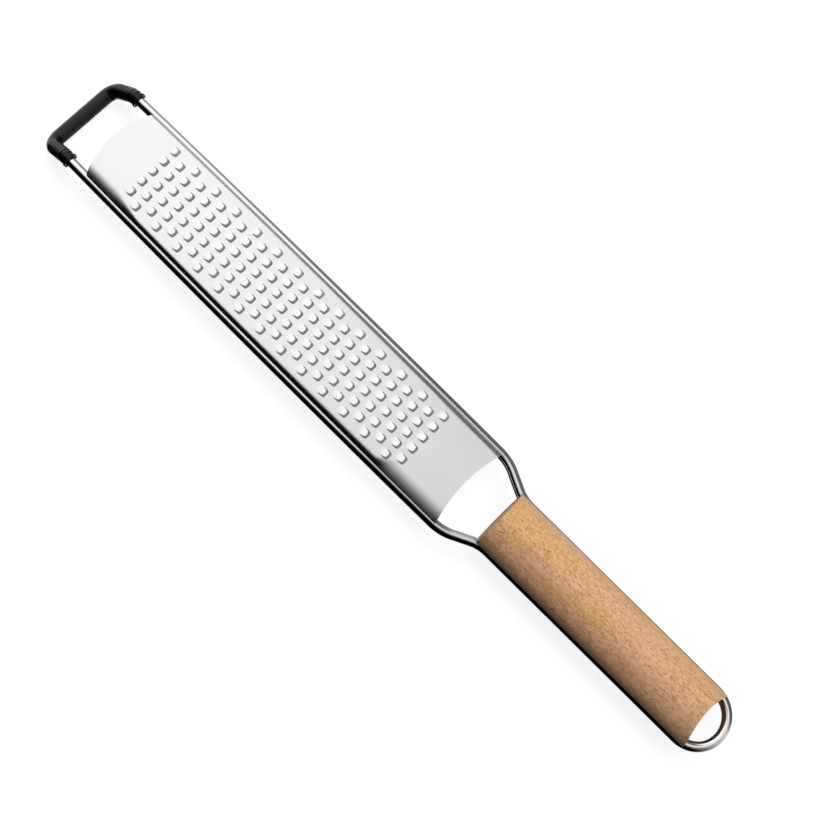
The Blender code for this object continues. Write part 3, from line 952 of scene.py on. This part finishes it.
def foot_rubber():
    """Black rubber with a soft sheen and a very fine pebble."""
    material, nodes = new_material("black_foot_rubber")
    pebble = nodes.noise(scale=(4200, 4200, 4200))
    scuffs = nodes.noise(scale=(420, 420, 420), detail=4.0, roughness=0.6)
    finish_material(
        nodes,
        {
            "Base Color": nodes.mix(scuffs, RUBBER_BLACK, RUBBER_SCUFFED),
            "Roughness": between(scuffs, low=0.2, high=0.32),
            "Specular IOR Level": 0.4,
            "Normal": nodes.bump(pebble, distance=0.00002),
        },
    )
    return material


def pores(nodes):
    """Short dark pores that follow the wavy grain. Only the cells with enough luck hold one."""
    grain = nodes.wavy(PORE_CELLS, PORE_WAVES, PORE_WAVE_BEND)
    cells = {"Vector": grain, "Scale": 1.0, "Randomness": 1.0}
    nearest = nodes.node("ShaderNodeTexVoronoi", None, cells)
    cell_tint = nodes.node("ShaderNodeTexVoronoi", None, cells, out="Color")
    luck = nodes.node("ShaderNodeSeparateColor", None, {"Color": cell_tint})
    lucky = nodes.ease(luck, low=PORE_LEAST_LUCK, high=PORE_LEAST_LUCK + PORE_LUCK_SPREAD)
    return nodes.ease(nearest, low=0.46, high=0.24) * lucky


def beech():
    """Oiled beech: yellow and pink zones, fine fibres along the handle, and many short dark pores."""
    material, nodes = new_material("oiled_beech")
    zones = nodes.noise(scale=(140, 30, 140), distortion=0.6)
    bands = nodes.noise(scale=(420, 26, 420), detail=3.0, roughness=0.6, distortion=0.8)
    fibres = nodes.noise(scale=(2100, 460, 2100), detail=4.0, roughness=0.7, distortion=0.4)
    thick = nodes.ease(nodes.noise(scale=(210, 60, 210)), low=0.35, high=0.65)
    flecks = pores(nodes) * between(thick, low=0.45, high=1.0)
    wood = nodes.mix(nodes.ease(zones, low=0.4, high=0.6), BEECH_YELLOW, BEECH_PINK)
    wood = nodes.paint(wood, BEECH_PALE_FIBRE, nodes.ease(fibres, low=0.46, high=0.3), most=0.5)
    wood = nodes.paint(wood, BEECH_BAND, nodes.ease(bands, low=0.42, high=0.72), most=0.4)
    wood = nodes.paint(wood, BEECH_DARK_FIBRE, nodes.ease(fibres, low=0.46, high=0.68), most=0.8)
    wood = nodes.paint(wood, BEECH_PORE, flecks, most=0.8)
    finish_material(
        nodes,
        {
            "Base Color": wood,
            "Roughness": between(fibres, low=0.46, high=0.60),
            "Specular IOR Level": 0.3,
            "Sheen Weight": 0.24,
            "Sheen Roughness": 0.5,
            "Normal": nodes.bump(fibres - PORE_SINK * flecks, distance=0.00004),
        },
    )
    return material


def beech_end_grain():
    """The beech's cut ends, darker than its sides partly as end grain drinks more oil and partly as painted
    shade, with the most painted shade on the loop's end.
    """
    material, nodes = new_material("oiled_beech_end_grain")
    ring_noise = nodes.noise(scale=(900, 60, 160), detail=3.0, roughness=0.6, distortion=0.5)
    rings = nodes.ease(ring_noise, low=0.35, high=0.65)
    open_pores = nodes.noise(scale=(4200, 300, 4200))
    at_neck = nodes.ease(*nodes.axes("Y"), low=LOOP_END_Y, high=NECK_END_Y)
    # Painted shade: the loop's end is darker than the neck's end
    shaded_loop_end = nodes.mix(rings, LOOP_END_SHADED_DARK, LOOP_END_SHADED_PALE)
    neck_end = nodes.mix(rings, NECK_END_DARK, NECK_END_PALE)
    wood = nodes.mix(at_neck, shaded_loop_end, neck_end)
    wood = nodes.paint(wood, END_GRAIN_PORE, nodes.ease(open_pores, low=0.5, high=0.75), most=0.5)
    finish_material(
        nodes,
        {
            "Base Color": wood,
            "Roughness": between(open_pores, low=0.6, high=0.75),
            "Specular IOR Level": 0.15,
            "Normal": nodes.bump(open_pores, distance=0.00004),
        },
    )
    return material


def darken_ends(handle):
    """Gives the two cut ends of the handle their end-grain colours, which hold painted shade."""
    handle.data.materials.append(beech_end_grain())
    for face in handle.data.polygons:
        if abs(face.normal.y) > END_FACE_SLANT:
            face.material_index = 1


def light_studio():
    """A tent that is bright above, dark on the left, and grey low on the right, and a lamp by the camera.

    Only what it lights shows the tent: seen past the floor's edge, it is plain white.
    """
    world = bpy.data.worlds.new("studio_tent")
    bpy.context.scene.world = world
    world.use_nodes = True
    nodes = Nodes(world.node_tree)
    x, y = nodes.axes("XY", source="Generated")
    at_foot = nodes.ease(y, *FOOT_RAMP)
    past_neck = nodes.ease(y, *NECK_RAMP)
    roof = ROOF_LEVEL + ROOF_GAIN_PAST_NECK * past_neck
    roof = roof + ROOF_GAIN_AT_FOOT * nodes.ease(y, *FAR_FOOT_RAMP)
    roof = roof + ROOF_GAIN_AT_LOOP * nodes.ease(y, *LOOP_RAMP)
    ends = 1 - LOOP_END_SHADE * nodes.ease(y, *LOOP_END_RAMP)
    left_start = LEFT_DARK_AT_FOOT_END * nodes.ease(y, *FOOT_END_RAMP)
    left_start = left_start - LEFT_DARK_PAST_NECK * past_neck - LEFT_DARK_TO
    left_end = LEFT_BRIGHT_FROM - LEFT_BRIGHT_PAST_NECK * past_neck
    left = nodes.ease((x - left_start) / (left_end - left_start), low=0.0, high=1.0)
    right_start = RIGHT_GREY_FROM + RIGHT_GREY_FROM_AT_FOOT * at_foot
    right_spread = RIGHT_GREY_SPREAD + RIGHT_GREY_SPREAD_AT_FOOT * at_foot
    right = nodes.ease((x - right_start) / right_spread, low=0.0, high=1.0)
    right_shade = RIGHT_SHADE - RIGHT_SHADE_AT_FOOT * at_foot
    strength = roof * ends * left * (1 - right_shade * right)
    seen = nodes.node("ShaderNodeLightPath", out="Is Camera Ray")
    strength = strength + seen * (1 - strength)
    background = nodes.node("ShaderNodeBackground", None, {"Color": WHITE, "Strength": strength})
    nodes.node("ShaderNodeOutputWorld", None, {"Surface": background})
    lamp = bpy.data.lights.new("camera_lamp", "SUN")
    lamp.energy = LAMP_STRENGTH
    lamp.angle = math.radians(LAMP_SPREAD)
    key = bpy.data.objects.new("camera_lamp", lamp)
    key.rotation_euler = [math.radians(turn) for turn in LAMP_TURN]
    key.visible_glossy = False
    bpy.context.scene.collection.objects.link(key)


def lay_floor():
    """A wide white floor that the grater lies on, with a shadow painted under the blade. Only the camera sees
    it: all else sees the tent below.
    """
    deselect_all()
    bpy.ops.mesh.primitive_plane_add(size=FLOOR_SIZE, location=(0, 0, 0))
    floor = begin("floor")
    material, nodes = new_material("white_floor")
    x, y = nodes.axes("XY")
    # Painted shadow: under the blade the floor glows less, so that the slots look grey
    aside = nodes.calc("ABSOLUTE", x - UNDER_BLADE_X)
    side_fade_from = UNDER_BLADE_HALF_WIDTH - UNDER_BLADE_SIDE_FADE
    beside = nodes.ease(aside, low=side_fade_from, high=UNDER_BLADE_HALF_WIDTH)
    past_foot_end = nodes.ease(y, low=BLADE_FOOT_END_Y - UNDER_BLADE_FOOT_FADE, high=BLADE_FOOT_END_Y)
    full_from = BLADE_HANDLE_END_Y + UNDER_BLADE_HANDLE_FULL
    past_handle_end = nodes.ease(y, low=full_from, high=BLADE_HANDLE_END_Y + UNDER_BLADE_HANDLE_START)
    painted_shadow_mask = (1 - beside) * (1 - past_foot_end) * (1 - past_handle_end)
    finish_material(
        nodes,
        {
            "Base Color": grey(FLOOR_COLOUR),
            "Roughness": 0.9,
            "Specular IOR Level": 0.0,
            "Emission Color": nodes.mix(painted_shadow_mask, grey(FLOOR_GLOW), grey(PAINTED_SHADOW_GLOW)),
            "Emission Strength": 1.0,
        },
    )
    floor.data.materials.append(material)
    floor.visible_glossy = False
    floor.visible_diffuse = False
    floor.visible_shadow = False


def place_camera():
    """Puts the camera where the photograph was taken from."""
    data = bpy.data.cameras.new("camera")
    data.lens = CAMERA_LENS
    data.sensor_width = CAMERA_SENSOR
    data.clip_start = CAMERA_NEAREST
    camera = bpy.data.objects.new("camera", data)
    camera.location = CAMERA_PLACE
    camera.rotation_euler = [math.radians(turn) for turn in CAMERA_TURN]
    bpy.context.scene.collection.objects.link(camera)
    bpy.context.scene.camera = camera


place_camera()
for build, finish, node, slot in (
    (make_wire, wire_steel, "wire_frame", "polished_wire"),
    (make_blade, blade_steel, "grater_blade", "blade_steel"),
    (make_foot, foot_rubber, "foot_sleeve", "foot_rubber"),
    (make_handle, beech, "beech_handle", "beech"),
):
    piece = build()
    piece.data.materials.clear()
    piece.data.materials.append(finish())
    if build is make_handle:
        darken_ends(piece)
    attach(piece, "root")
    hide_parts(node)
light_studio()
lay_floor()
bpy.context.scene.view_settings.view_transform = "Standard"
